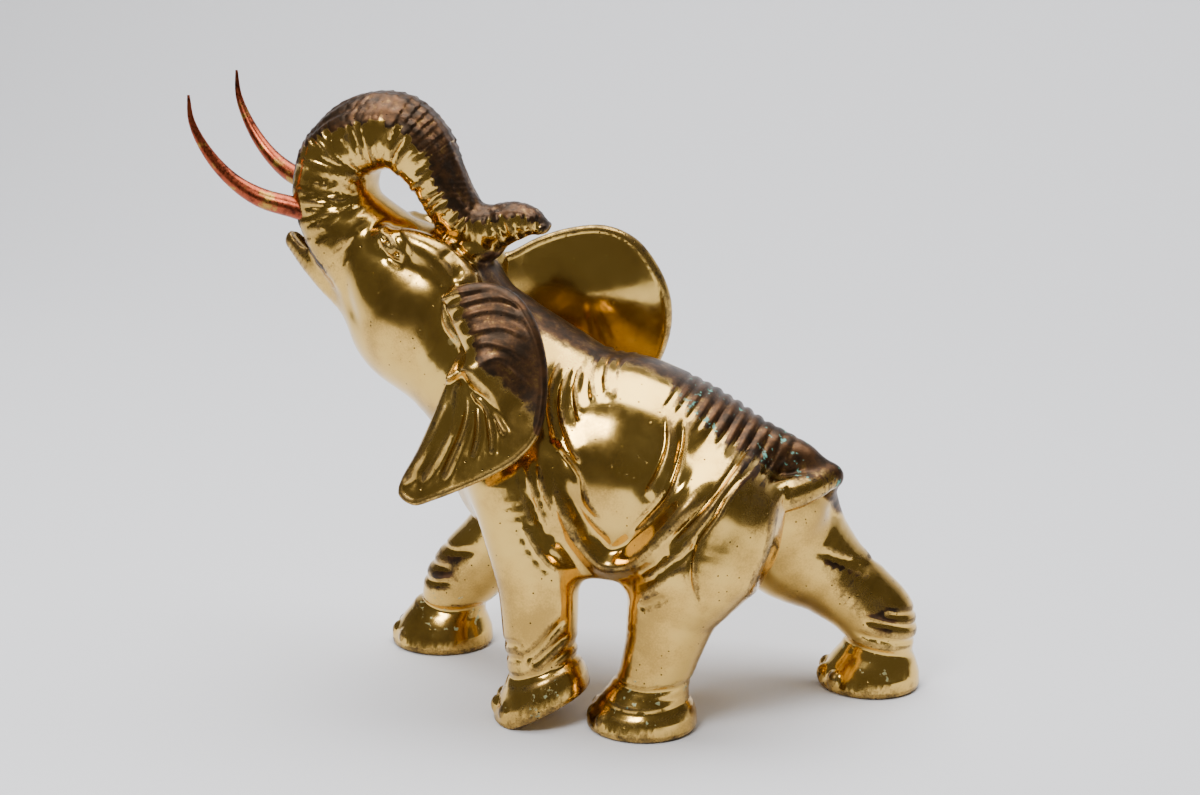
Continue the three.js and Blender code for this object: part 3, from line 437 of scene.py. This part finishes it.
BODY_STROKES += [lap(1, w, RIGHT_SIDE * h, line) for w, h, line in LAPS]
BODY_STROKES += [stroke(side, w, h, line) for side, w, h, line in LEG_FOLDS]
BODY_STROKES += [stroke(0, 1.3, -1.25 + 0.3 * math.sin(x), [(x + 3, z + 9), (x, z), (x - 3, z - 8), (x - 7, z - 16)])
                 for x, z in SPINE]
BODY_STROKES += [
    lap(-1, 8, 1.8, [(87, 66), (91, 80), (94, 90), (98, 101), (100, 113), (101, 126), (103, 134)]),
]
HEAD_STROKES = []
for side in (-1, 1):
    HEAD_STROKES += [
        stroke(side, 4.5, -1.8, [(-122, 249), (-131, 240), (-134, 230), (-134, 218), (-130, 206), (-122, 196)]),
        stroke(side, 1.1, 1.2, [(-114, 249), (-108, 247.5), (-103.5, 243.5), (-100, 237.5)]),
        stroke(side, 1.0, 0.9, [(-114, 248.5), (-110, 242), (-105.5, 238), (-100, 237)]),
        stroke(side, 1.7, -1.1, [(-113, 252.5), (-104, 250), (-98, 243), (-96.5, 235)]),
        stroke(side, 1.7, -0.9, [(-111, 238), (-105, 234), (-99, 233)]),
        stroke(side, 2.2, -1.3, [(-80, 242), (-72, 236), (-68, 227)]),
    ]
EAR_STROKES = [
    stroke(-1, 3.0, 2.4, [(-59, 192), (-60, 178), (-65, 162), (-73, 147), (-82, 133)], 0.12),
    stroke(-1, 2.6, 1.8, [(-56, 188), (-56, 175), (-60, 160), (-66, 147), (-73, 134)], 0.12),
    stroke(-1, 2.0, 1.5, [(-53, 185), (-51, 173), (-52, 161), (-56, 148), (-60, 136)], 0.12),
    stroke(-1, 1.6, 1.3, [(-50, 182), (-46, 172), (-44, 160), (-46, 147)], 0.12),
    stroke(-1, 1.5, 1.1, [(-48, 180), (-41, 170), (-37, 159), (-36, 150)], 0.12),
    stroke(-1, 1.5, 0.9, [(-46, 178), (-37, 169), (-29, 160)], 0.12),
    stroke(-1, 1.4, 0.5, [(-78, 217), (-64, 226), (-46, 229)]),
    stroke(-1, 1.4, 0.5, [(-72, 214), (-59, 222), (-42, 226), (-26, 222)]),
    stroke(-1, 1.4, 0.5, [(-66, 210), (-52, 218), (-38, 220), (-22, 215)]),
    stroke(-1, 1.4, 0.5, [(-58, 206), (-46, 211), (-34, 212), (-20, 206)]),
    stroke(-1, 1.4, 0.5, [(-54, 201), (-42, 205), (-30, 202), (-18, 194)]),
    stroke(-1, 1.4, 0.5, [(-46, 195), (-35, 198), (-26, 192), (-17, 184)]),
]
NEAR_EAR = [
    (-84, 129), (-75, 123.5), (-64, 127), (-50, 133), (-36, 140), (-22, 149), (-13, 161), (-11, 178), (-13, 196),
    (-19, 212), (-31, 226), (-46, 231.5), (-61, 230), (-74, 221), (-75, 207), (-64, 190), (-67, 174), (-76, 150),
]
FAR_EAR = [
    (-76, 230), (-66, 229), (-52, 236), (-36, 241), (-18, 242), (-3, 235), (7.5, 222), (15, 204), (16, 186),
    (10.5, 166), (0, 150), (-18, 138), (-40, 130), (-62, 132), (-76, 150), (-82, 180), (-82, 210),
]


def near_stand(x, z):
    """The upper lobe rolls out of the head and bulges over the hanging one along a steep edge."""
    across = 0.78 * (x + 64) + 0.62 * (z - 205)
    down = 0.62 * (x + 64) - 0.78 * (z - 205)
    lobe = 10 * smooth(-7, 5, across) * np.exp(-(np.maximum(across, 0) / 34) ** 2) * (1 - smooth(18, 50, down))
    fan = 3 * hill(x + 66, z - 158, 9, 26)
    out = 66 + 0.385 * (180 - z) + lobe + fan
    from_root = np.maximum(0, 0.905 * (x + 68) + 0.426 * (z - 205))
    root = np.exp(-(from_root / 10) ** 2) * (1 - smooth(10, 22, 0.426 * (x + 68) - 0.905 * (z - 205)))
    return out + (35 - out) * root


def far_stand(x, z):
    low = np.maximum(0, 215 - z)
    flare = 58 + 0.42 * (x + 30) + 0.0017 * low ** 2
    return flare - 10 * hill(x + 80, z - 208, 18, 32) - 7 * hill(x + 20, z - 205, 26, 26)


near_ear = ear(-1, NEAR_EAR, near_stand, (-76, 212), EAR_STROKES)
far_ear = ear(1, FAR_EAR, far_stand, (-80, 205), [])

tail_shelf = limb([(92, -26, 122, 8), (104, -18, 124, 8.5), (114, -8, 127, 7.5), (121, 0, 129.5, 5.5)])
tail = limb([
    (88, 0, 141, 11), (102, 0, 137.5, 9), (113, 0, 133, 7), (120.5, 3, 128.5, 5), (118, 14, 121, 4.6),
    (114.5, 28, 112, 4.6),
    (114.5, 42, 99, 4.2), (112, 56, 86, 4), (114, 65, 73, 4.5), (116, 67.5, 62, 5), (120, 66.5, 53, 2.5),
])


# ---------------------------------------------------------------- whole casting
def casting(x, y, z):
    d = None
    for part, k in TORSO:
        d = part(x, y, z) if d is None else melt(d, part(x, y, z), k)
    for leg, k in zip(LEGS, (12, 12, 12, 5)):
        d = melt(d, leg(x, y, z), k)
    d = melt(d, tail_shelf(x, y, z), 5)
    for shoe in FEET:
        d = melt(d, shoe(x, y, z), 3)
    for nail in NAILS:
        d = melt(d, nail(x, y, z), 1.5)
    near = np.abs(d) < 9
    d[near] -= total(BODY_STROKES, x[near], y[near], z[near])
    return d


def head_of(x, y, z):
    d = melt(cheek(x, y, z), cranium(x, y, z), 12)
    d = melt(d, face(x, y, z), 10)
    d = melt(d, jaw(x, y, z), 6)
    d = melt(d, trunk(x, y, z), 6)
    for bump, k in HEAD_BUMPS:
        d = melt(d, bump(x, y, z), k)
    near = np.abs(d) < 9
    d[near] -= total(HEAD_STROKES, x[near], y[near], z[near])
    return trim(d, -mouth(x, y, z), 1.5)


def elephant(x, y, z):
    d = casting(x, y, z)
    d = melt(d, only(((-200, -60, 150), (-15, 60, 330)), 0, FAR, head_of)(x, y, z), 8)
    d = melt(d, tail(x, y, z), 5)
    d = melt(d, near_ear(x, y, z), 4)
    d = melt(d, far_ear(x, y, z), 4)
    return np.maximum(d, -z)


# ---------------------------------------------------------------- meshing
def doubled(a):
    """A grid with a new layer between each two layers, on every axis."""
    for axis in range(3):
        a = np.moveaxis(a, axis, 0)
        out = np.empty((2 * len(a) - 1,) + a.shape[1:], a.dtype)
        out[::2] = a
        out[1::2] = (a[:-1] + a[1:]) / 2
        a = np.moveaxis(out, 0, axis)
    return np.ascontiguousarray(a)


def sampled(field, low, high, step):
    """The field on a grid of the given step, worked out exactly only near the surface."""
    coarse = 4 * step
    size = [int(math.ceil((b - a) / coarse)) + 1 for a, b in zip(low, high)]
    grid = np.full(size, np.float32(1), np.float32)
    keep = grid > 0
    for stride, band in ((4, None), (2, 2.4 * step * 2), (1, 2.4 * step)):
        if band is not None:
            grid = doubled(grid)
            keep = np.abs(grid) < band
        i, j, k = np.nonzero(keep)
        axes = [np.float32(a) + np.float32(step * stride) * n.astype(np.float32) for a, n in zip(low, (i, j, k))]
        for a in range(0, len(i), 400000):
            part = slice(a, a + 400000)
            grid[i[part], j[part], k[part]] = field(*[v[part] for v in axes])
    return grid


def lookup(grid, low, step, p):
    """The grid at points p, by trilinear interpolation."""
    q = (p - np.array(low)) / step
    i = np.clip(np.floor(q).astype(np.int64), 0, np.array(grid.shape) - 2)
    f = q - i
    out = 0
    for c in range(8):
        o = np.array([c & 1, (c >> 1) & 1, c >> 2])
        w = np.prod(np.where(o, f, 1 - f), axis=1)
        a = i + o
        out = out + w * grid[a[:, 0], a[:, 1], a[:, 2]]
    return out


def slope(grid, low, step, p, reach=0.6):
    """The unit normal at points p."""
    g = np.empty_like(p)
    for k in range(3):
        o = np.zeros(3)
        o[k] = reach * step
        g[:, k] = lookup(grid, low, step, p + o) - lookup(grid, low, step, p - o)
    return g / np.maximum(np.linalg.norm(g, axis=1), 1e-9)[:, None]


def netted(grid, low, step):
    """Surface net: one point in each cell that the surface crosses, one quad round each edge that it cuts."""
    under = grid < 0
    shape = np.array(grid.shape)
    cells = shape - 1
    sums = np.zeros(tuple(cells) + (3,), np.float32)
    counts = np.zeros(tuple(cells), np.int8)
    cuts = []
    for k in range(3):
        o = np.zeros(3, int)
        o[k] = 1
        first = tuple(slice(0, s - d) for s, d in zip(shape, o))
        second = tuple(slice(d, s) for s, d in zip(shape, o))
        edge = np.argwhere(under[first] != under[second])
        a = grid[tuple(edge.T)]
        b = grid[tuple((edge + o).T)]
        t = a / (a - b)
        cuts.append((k, edge, a < 0))
        p = edge.astype(np.float32) + t[:, None] * o
        u, v = [m for m in range(3) if m != k]
        for du in (0, -1):
            for dv in (0, -1):
                c = edge.copy()
                c[:, u] += du
                c[:, v] += dv
                ok = ((c >= 0) & (c < cells)).all(1)
                at = tuple(c[ok].T)
                np.add.at(sums, at, p[ok])
                np.add.at(counts, at, 1)
    used = counts > 0
    number = np.full(tuple(cells), -1, np.int64)
    number[used] = np.arange(used.sum())
    points = sums[used] / counts[used][:, None] * step + np.array(low)
    quads = []
    for k, edge, from_inside in cuts:
        u, v = (k + 1) % 3, (k + 2) % 3
        ring = []
        for du, dv in ((0, 0), (-1, 0), (-1, -1), (0, -1)):
            c = edge.copy()
            c[:, u] += du
            c[:, v] += dv
            ring.append(number[tuple(c.T)])
        ring = np.stack(ring, 1)
        ring[~from_inside] = ring[~from_inside][:, ::-1]
        quads.append(ring)
    return points.astype(float), np.concatenate(quads)


def mesh_of(name, points, faces):
    """A mesh from arrays of points in metres and faces."""
    mesh = bpy.data.meshes.new(name)
    n = faces.shape[1]
    mesh.vertices.add(len(points))
    mesh.vertices.foreach_set("co", points.astype(np.float32).ravel())
    mesh.loops.add(faces.size)
    mesh.loops.foreach_set("vertex_index", faces.astype(np.int32).ravel())
    mesh.polygons.add(len(faces))
    mesh.polygons.foreach_set("loop_start", np.arange(0, faces.size, n, dtype=np.int32))
    mesh.update(calc_edges=True)
    mesh.validate()
    return mesh


def placed(p):
    """Points of the figure in the frame, in metres."""
    return (p + np.array(SHIFT)) / 1000


# ---------------------------------------------------------------- where the patina lies
spine = limb([(-62, 0, 226, 20), (-40, 0, 207, 24), (-15, 0, 195, 21), (15, 0, 187, 15), (45, 0, 180, 20),
              (65, 0, 168, 29), (85, 0, 155, 31), (103, 0, 143, 24), (118, 2, 133, 12)])
STAINS = [
    limb([(94, -30, 150, 9), (91, -46, 134, 9), (90, -50, 118, 7)]),
    limb([(-104, 22, 63, 5), (-93, 21, 52, 6), (-106, 21, 44, 6)]),
    limb([(116, 24, 72, 5), (130, 24, 58, 8), (148, 25, 45, 7)]),
]


LOBE_EDGE = ((-60, -54, -47, -41, -30, -20, -12), (228, 212, 197, 189, 182, 172, 160))


def browned(x, y, z):
    """How far the brown patina has been left: the back, the tail, the trunk's back, the ear's upper lobe, stains."""
    out = 1 - smooth(-9, 3, spine(x, y, z))
    out = np.maximum(out, 1 - smooth(0, 3, tail(x, y, z)))
    out = np.maximum(out, smooth(-2.4, -0.6, trunk_back(x, y, z)) * smooth(2.5, 1, trunk(x, y, z)) * (z > 225))
    for stain in STAINS:
        out = np.maximum(out, 0.55 * (1 - smooth(-3, 4, stain(x, y, z))))
    above = z - np.interp(x, *LOBE_EDGE) + 1.5 * np.sin((x - z) / 5)
    lobe = smooth(-2, 2.5, above) * smooth(45, 50, -y) * (z > 155) * (x < -5)
    return np.maximum(out, lobe)


def greened(x, y, z):
    """Where verdigris has started."""
    out = 0.9 * (1 - smooth(-4, 14, spine(x, y, z))) * smooth(35, 60, x)
    out = np.maximum(out, 0.5 * smooth(60, 20, np.abs(z - 24)) * (z < 34) * (z > 10))
    return np.maximum(out, 0.6 * hill(x + 64, z - 208, 10, 14) * (y < -30))


def sculpted():
    """The casting as one thinned mesh, with its patina painted on and its hollows marked for the painted shade in
    the folds.
    """
    low, high = (-190.3, -100.3, -4.15), (172, 100, 330)
    grid = sampled(elephant, low, high, STEP)
    points, quads = netted(grid, low, STEP)
    for _ in range(2):
        points -= lookup(grid, low, STEP, points)[:, None] * slope(grid, low, STEP, points)
    obj = bpy.data.objects.new("rough", mesh_of("rough", placed(points), quads))
    bpy.context.scene.collection.objects.link(obj)
    thin = obj.modifiers.new("thin", "DECIMATE")
    thin.ratio = FACES / (2 * len(quads))
    mesh = bpy.data.meshes.new_from_object(obj.evaluated_get(bpy.context.evaluated_depsgraph_get()))
    bpy.data.objects.remove(obj)
    co = np.empty(3 * len(mesh.vertices), np.float32)
    mesh.vertices.foreach_get("co", co)
    p = co.reshape(-1, 3).astype(float) * 1000 - np.array(SHIFT)
    mesh.name = "casting"
    casting_obj = bpy.data.objects.new("casting", mesh)
    bpy.context.scene.collection.objects.link(casting_obj)
    mesh.shade_smooth()
    normals = slope(grid, low, STEP, p, 0.9)
    mesh.normals_split_custom_set_from_vertices(normals)
    # hollow: how far the surface curves in; the finish darkens the folds with it, partly as patina and partly as
    # painted shade
    bend = -6 * lookup(grid, low, STEP, p)
    for k in range(3):
        o = np.zeros(3)
        o[k] = BEND_REACH
        bend += lookup(grid, low, STEP, p + o) + lookup(grid, low, STEP, p - o)
    x, y, z = p.T
    paint = {"hollow": bend / BEND_REACH ** 2, "brown": browned(x, y, z), "green": greened(x, y, z)}
    for name, value in paint.items():
        mesh.attributes.new(name, "FLOAT", "POINT").data.foreach_set("value", value.astype(np.float32))
    return casting_obj


body = sculpted()


# ---------------------------------------------------------------- finishes
def colour(hexed):
    """An sRGB hex colour as linear RGBA."""
    v = [int(hexed[i:i + 2], 16) / 255 for i in (1, 3, 5)]
    return [c / 12.92 if c <= 0.04045 else ((c + 0.055) / 1.055) ** 2.4 for c in v] + [1]


def finish(name):
    """A new material and its shader."""
    material = bpy.data.materials.new(name)
    material.use_nodes = True
    return material, material.node_tree.nodes["Principled BSDF"]


def add(tree, kind, inputs=None, **settings):
    """A node with its settings; an input that is a socket is linked, any other is set."""
    node = tree.nodes.new(kind)
    for key, value in settings.items():
        setattr(node, key, value)
    for key, value in (inputs or {}).items():
        if isinstance(value, bpy.types.NodeSocket):
            tree.links.new(value, node.inputs[key])
        else:
            node.inputs[key].default_value = value
    return node


def cast_bronze():
    """Polished bronze: cast, chased, patinated brown, then polished so the patina stays in the folds and on top; the
    brown in the folds is also painted shade.
    """
    material, shader = finish("polished_cast_bronze")
    tree = material.node_tree
    at = add(tree, "ShaderNodeTexCoord").outputs["Object"]

    def noise(size, detail=4, rough=0.55):
        """Noise with features of about size millimetres."""
        return add(tree, "ShaderNodeTexNoise", {"Vector": at, "Scale": 1000 / size, "Detail": detail,
                                                "Roughness": rough}).outputs["Fac"]

    def ramp(value, lo, hi, a=0.0, b=1.0):
        return add(tree, "ShaderNodeMapRange", {"Value": value, "From Min": lo, "From Max": hi, "To Min": a,
                                                "To Max": b}, interpolation_type="SMOOTHSTEP").outputs["Result"]

    def calc(operation, a, b):
        return add(tree, "ShaderNodeMath", {0: a, 1: b}, operation=operation).outputs["Value"]

    def blend(factor, a, b):
        return add(tree, "ShaderNodeMix", {"Factor": factor, "A": a, "B": b}, data_type="RGBA").outputs["Result"]

    def painted(name):
        return add(tree, "ShaderNodeAttribute", attribute_name=name).outputs["Fac"]

    cloud, mottle, grain = noise(38, 3), noise(7, 5), noise(1.1, 3)
    # crease: brown patina kept in the hollows, and with it painted shade that darkens the folds and the trunk's hole
    crease = ramp(painted("hollow"), 0.03, 0.22)
    left = calc("ADD", calc("MULTIPLY", painted("brown"), 1.15), calc("MULTIPLY", crease, 0.75))
    left = calc("ADD", left, calc("MULTIPLY", calc("SUBTRACT", mottle, 0.5), 1.1))
    left = calc("ADD", left, calc("MULTIPLY", calc("SUBTRACT", grain, 0.5), 0.5))
    brown = ramp(left, 0.3, 1.15)
    tarnish = ramp(calc("ADD", cloud, calc("MULTIPLY", grain, 0.35)), 0.62, 0.85)
    cells = add(tree, "ShaderNodeTexVoronoi", {"Vector": at, "Scale": 1000 / 4.2})
    rare = add(tree, "ShaderNodeSeparateColor", {"Color": cells.outputs["Color"]}).outputs["Red"]
    pit = calc("MULTIPLY", ramp(cells.outputs["Distance"], 0.13, 0.07), ramp(calc("ADD", rare, cloud), 1.02, 1.12))
    specks = calc("ADD", calc("MULTIPLY", noise(3.2, 4), 0.6), calc("MULTIPLY", noise(12, 2), 0.5))
    green = calc("MULTIPLY", ramp(specks, 0.65, 0.71), painted("green"))

    gold = blend(ramp(cloud, 0.35, 0.7), colour("#DDB763"), colour("#CFA452"))
    gold = blend(calc("MULTIPLY", tarnish, 0.45), gold, colour("#7D6A3E"))
    metal = blend(brown, gold, blend(ramp(mottle, 0.35, 0.65), colour("#573B24"), colour("#33261A")))
    metal = blend(pit, metal, colour("#23180E"))
    tree.links.new(blend(green, metal, colour("#6FB6A6")), shader.inputs["Base Color"])
    bare = calc("SUBTRACT", 1.0, calc("MAXIMUM", green, calc("MULTIPLY", brown, 0.15)))
    tree.links.new(bare, shader.inputs["Metallic"])
    dull = calc("ADD", calc("MULTIPLY", brown, 0.24), calc("MULTIPLY", tarnish, 0.08))
    dull = calc("ADD", dull, calc("MULTIPLY", green, 0.5))
    tree.links.new(calc("ADD", dull, ramp(mottle, 0.3, 0.7, 0.11, 0.17)), shader.inputs["Roughness"])
    height = calc("SUBTRACT", calc("MULTIPLY", grain, calc("ADD", 0.05, calc("MULTIPLY", brown, 0.25))), pit)
    height = calc("ADD", height, calc("MULTIPLY", noise(14, 2), 0.5))
    bump = add(tree, "ShaderNodeBump", {"Height": height, "Strength": 0.35, "Distance": 0.0004})
    tree.links.new(bump.outputs["Normal"], shader.inputs["Normal"])
    return material


def worn_copper():
    """Copper: drawn and polished tusks, tarnished red-brown, worn to brass colour here and there."""
    material, shader = finish("tarnished_copper")
    tree = material.node_tree
    at = add(tree, "ShaderNodeTexCoord").outputs["Object"]
    patch = add(tree, "ShaderNodeTexNoise", {"Vector": at, "Scale": 1000 / 9, "Detail": 5}).outputs["Fac"]
    fine = add(tree, "ShaderNodeTexNoise", {"Vector": at, "Scale": 1000 / 1.5, "Detail": 3}).outputs["Fac"]
    dark = add(tree, "ShaderNodeMapRange", {"Value": patch, "From Min": 0.52, "From Max": 0.66}).outputs["Result"]
    warm = add(tree, "ShaderNodeMapRange", {"Value": patch, "From Min": 0.42, "From Max": 0.34}).outputs["Result"]
    red = add(tree, "ShaderNodeMix", {"Factor": warm, "A": colour("#9A4B32"), "B": colour("#A9803E")},
              data_type="RGBA")
    tone = add(tree, "ShaderNodeMix", {"Factor": dark, "A": red.outputs["Result"], "B": colour("#4A241A")},
               data_type="RGBA")
    tree.links.new(tone.outputs["Result"], shader.inputs["Base Color"])
    shader.inputs["Metallic"].default_value = 1
    rough = add(tree, "ShaderNodeMapRange", {"Value": fine, "From Min": 0.3, "From Max": 0.7, "To Min": 0.22,
                                             "To Max": 0.42})
    tree.links.new(rough.outputs["Result"], shader.inputs["Roughness"])
    bump = add(tree, "ShaderNodeBump", {"Height": fine, "Strength": 0.3, "Distance": 0.0002})
    tree.links.new(bump.outputs["Normal"], shader.inputs["Normal"])
    return material


body.data.materials.append(cast_bronze())
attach(body, "root")
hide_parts("elephant_body")

# ---------------------------------------------------------------- tusks
TUSK = [(-152, 15, 254, 5.8), (-164, 17.5, 258, 5.7), (-182, 21, 263, 5.2), (-196, 24.5, 272, 4),
        (-208, 27.5, 286, 3), (-216, 29.5, 303, 1.8), (-217, 30, 317, 0.7)]  # x, y, z, radius
FAR_TUSK_RISE = 6  # how much higher the right tusk sits
TUSK_RINGS = 60
TUSK_SIDES = 24
copper = worn_copper()


def horn_tree():
    """A geometry tree that sweeps a round section of changing radius along a curve."""
    tree = bpy.data.node_groups.new("horn", "GeometryNodeTree")
    tree.interface.new_socket("Geometry", in_out="INPUT", socket_type="NodeSocketGeometry")
    tree.interface.new_socket("Rings", in_out="INPUT", socket_type="NodeSocketInt")
    tree.interface.new_socket("Sides", in_out="INPUT", socket_type="NodeSocketInt")
    tree.interface.new_socket("Finish", in_out="INPUT", socket_type="NodeSocketMaterial")
    tree.interface.new_socket("Geometry", in_out="OUTPUT", socket_type="NodeSocketGeometry")
    given = add(tree, "NodeGroupInput")
    even = add(tree, "GeometryNodeResampleCurve", {"Curve": given.outputs["Geometry"],
                                                   "Count": given.outputs["Rings"]})
    ring = add(tree, "GeometryNodeCurvePrimitiveCircle", {"Resolution": given.outputs["Sides"], "Radius": 1.0})
    swept = add(tree, "GeometryNodeCurveToMesh", {"Curve": even.outputs["Curve"],
                                                  "Profile Curve": ring.outputs["Curve"],
                                                  "Scale": add(tree, "GeometryNodeInputRadius").outputs["Radius"],
                                                  "Fill Caps": True})
    shaded = add(tree, "GeometryNodeSetShadeSmooth", {"Geometry": swept.outputs["Mesh"]})
    real = add(tree, "GeometryNodeRealizeInstances", {"Geometry": shaded.outputs["Geometry"]})
    painted = add(tree, "GeometryNodeSetMaterial", {"Geometry": real.outputs["Geometry"],
                                                    "Material": given.outputs["Finish"]})
    add(tree, "NodeGroupOutput", {"Geometry": painted.outputs["Geometry"]})
    return tree


def tusk(name, node, stations):
    """A tusk swept along stations (x, y, z, radius)."""
    line = spline(stations, 24)
    curve = bpy.data.curves.new(name, "CURVE")
    curve.dimensions = "3D"
    path = curve.splines.new("POLY")
    path.points.add(len(line) - 1)
    for point, (x, y, z, r) in zip(path.points, line):
        point.co = (*placed(np.array([x, y, z])), 1)
        point.radius = r / 1000
    obj = bpy.data.objects.new(name + "_curve", curve)
    bpy.context.scene.collection.objects.link(obj)
    sweep = obj.modifiers.new("horn", "NODES")
    sweep.node_group = horn_tree()
    inputs = {i.name: i.identifier for i in sweep.node_group.interface.items_tree if i.in_out == "INPUT"}
    sweep[inputs["Rings"]] = TUSK_RINGS
    sweep[inputs["Sides"]] = TUSK_SIDES
    sweep[inputs["Finish"]] = copper
    mesh = bpy.data.meshes.new_from_object(obj.evaluated_get(bpy.context.evaluated_depsgraph_get()))
    bpy.data.objects.remove(obj)
    mesh.name = name
    done = bpy.data.objects.new(name, mesh)
    bpy.context.scene.collection.objects.link(done)
    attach(done, "root")
    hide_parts(node)


tusk("left_tusk", "tusk_left", [(x, -y, z, r) for x, y, z, r in TUSK])
tusk("right_tusk", "tusk_right", [(x, y, z + FAR_TUSK_RISE, r) for x, y, z, r in TUSK])

# ---------------------------------------------------------------- studio
AIM = (0, -10, 165)                              # what the camera looks at, in millimetres
VIEW = Vector((0.26625, -0.92851, 0.25882))      # from there to the camera: 16 degrees round, 15 degrees up
DISTANCE = 1.2                                   # metres
LENS = 69.21
SENSOR = 36


def millimetres(x, y, z):
    """A place in the frame, in metres, from the figure's own millimetres."""
    return Vector(placed(np.array([x, y, z])))


camera = bpy.data.objects.new("camera", bpy.data.cameras.new("camera"))
bpy.context.scene.collection.objects.link(camera)
bpy.context.scene.camera = camera
target = millimetres(*AIM)
camera.location = target + DISTANCE * VIEW
camera.rotation_mode = "QUATERNION"
camera.rotation_quaternion = (target - camera.location).to_track_quat("-Z", "Y")
camera.data.lens = LENS
camera.data.sensor_width = SENSOR


def sweep_floor():
    """A sheet of pale paper that lies flat and curves up behind."""
    profile = [(-0.75, 0)] + [(y, 0) for y in (0.2, 0.8)]
    profile += [(0.8 + 0.9 * math.sin(a), 0.9 - 0.9 * math.cos(a)) for a in np.linspace(0.08, math.pi / 2, 20)]
    profile.append((1.7, 2.6))
    half = 2.6
    points = [(side * half, y, z) for y, z in profile for side in (-1, 1)]
    faces = [(2 * i, 2 * i + 1, 2 * i + 3, 2 * i + 2) for i in range(len(profile) - 1)]
    mesh = bpy.data.meshes.new("floor")
    mesh.from_pydata(points, [], faces)
    mesh.shade_smooth()
    return mesh


floor = bpy.data.objects.new("floor", sweep_floor())
bpy.context.scene.collection.objects.link(floor)
paper, shader = finish("matt_white_paper")
shader.inputs["Base Color"].default_value = colour("#E2E3E8")
shader.inputs["Roughness"].default_value = 0.85
floor.data.materials.append(paper)


def softbox(name, at, size, power):
    """A soft white light of size (width, height) in metres, turned towards the figure."""
    data = bpy.data.lights.new(name, "AREA")
    data.shape = "RECTANGLE"
    data.size, data.size_y = size
    data.energy = power
    lamp = bpy.data.objects.new(name, data)
    bpy.context.scene.collection.objects.link(lamp)
    lamp.location = at
    lamp.rotation_mode = "QUATERNION"
    lamp.rotation_quaternion = (Vector((0, 0, 0.15)) - Vector(at)).to_track_quat("-Z", "Y")


softbox("key", (-0.25, -0.95, 1.25), (0.5, 0.42), 16)
softbox("top", (0.0, 0.35, 2.1), (2.4, 1.6), 88)
world = bpy.data.worlds.new("room")
bpy.context.scene.world = world
world.use_nodes = True
world.node_tree.nodes["Background"].inputs["Color"].default_value = colour("#8C8678")
world.node_tree.nodes["Background"].inputs["Strength"].default_value = 0.5
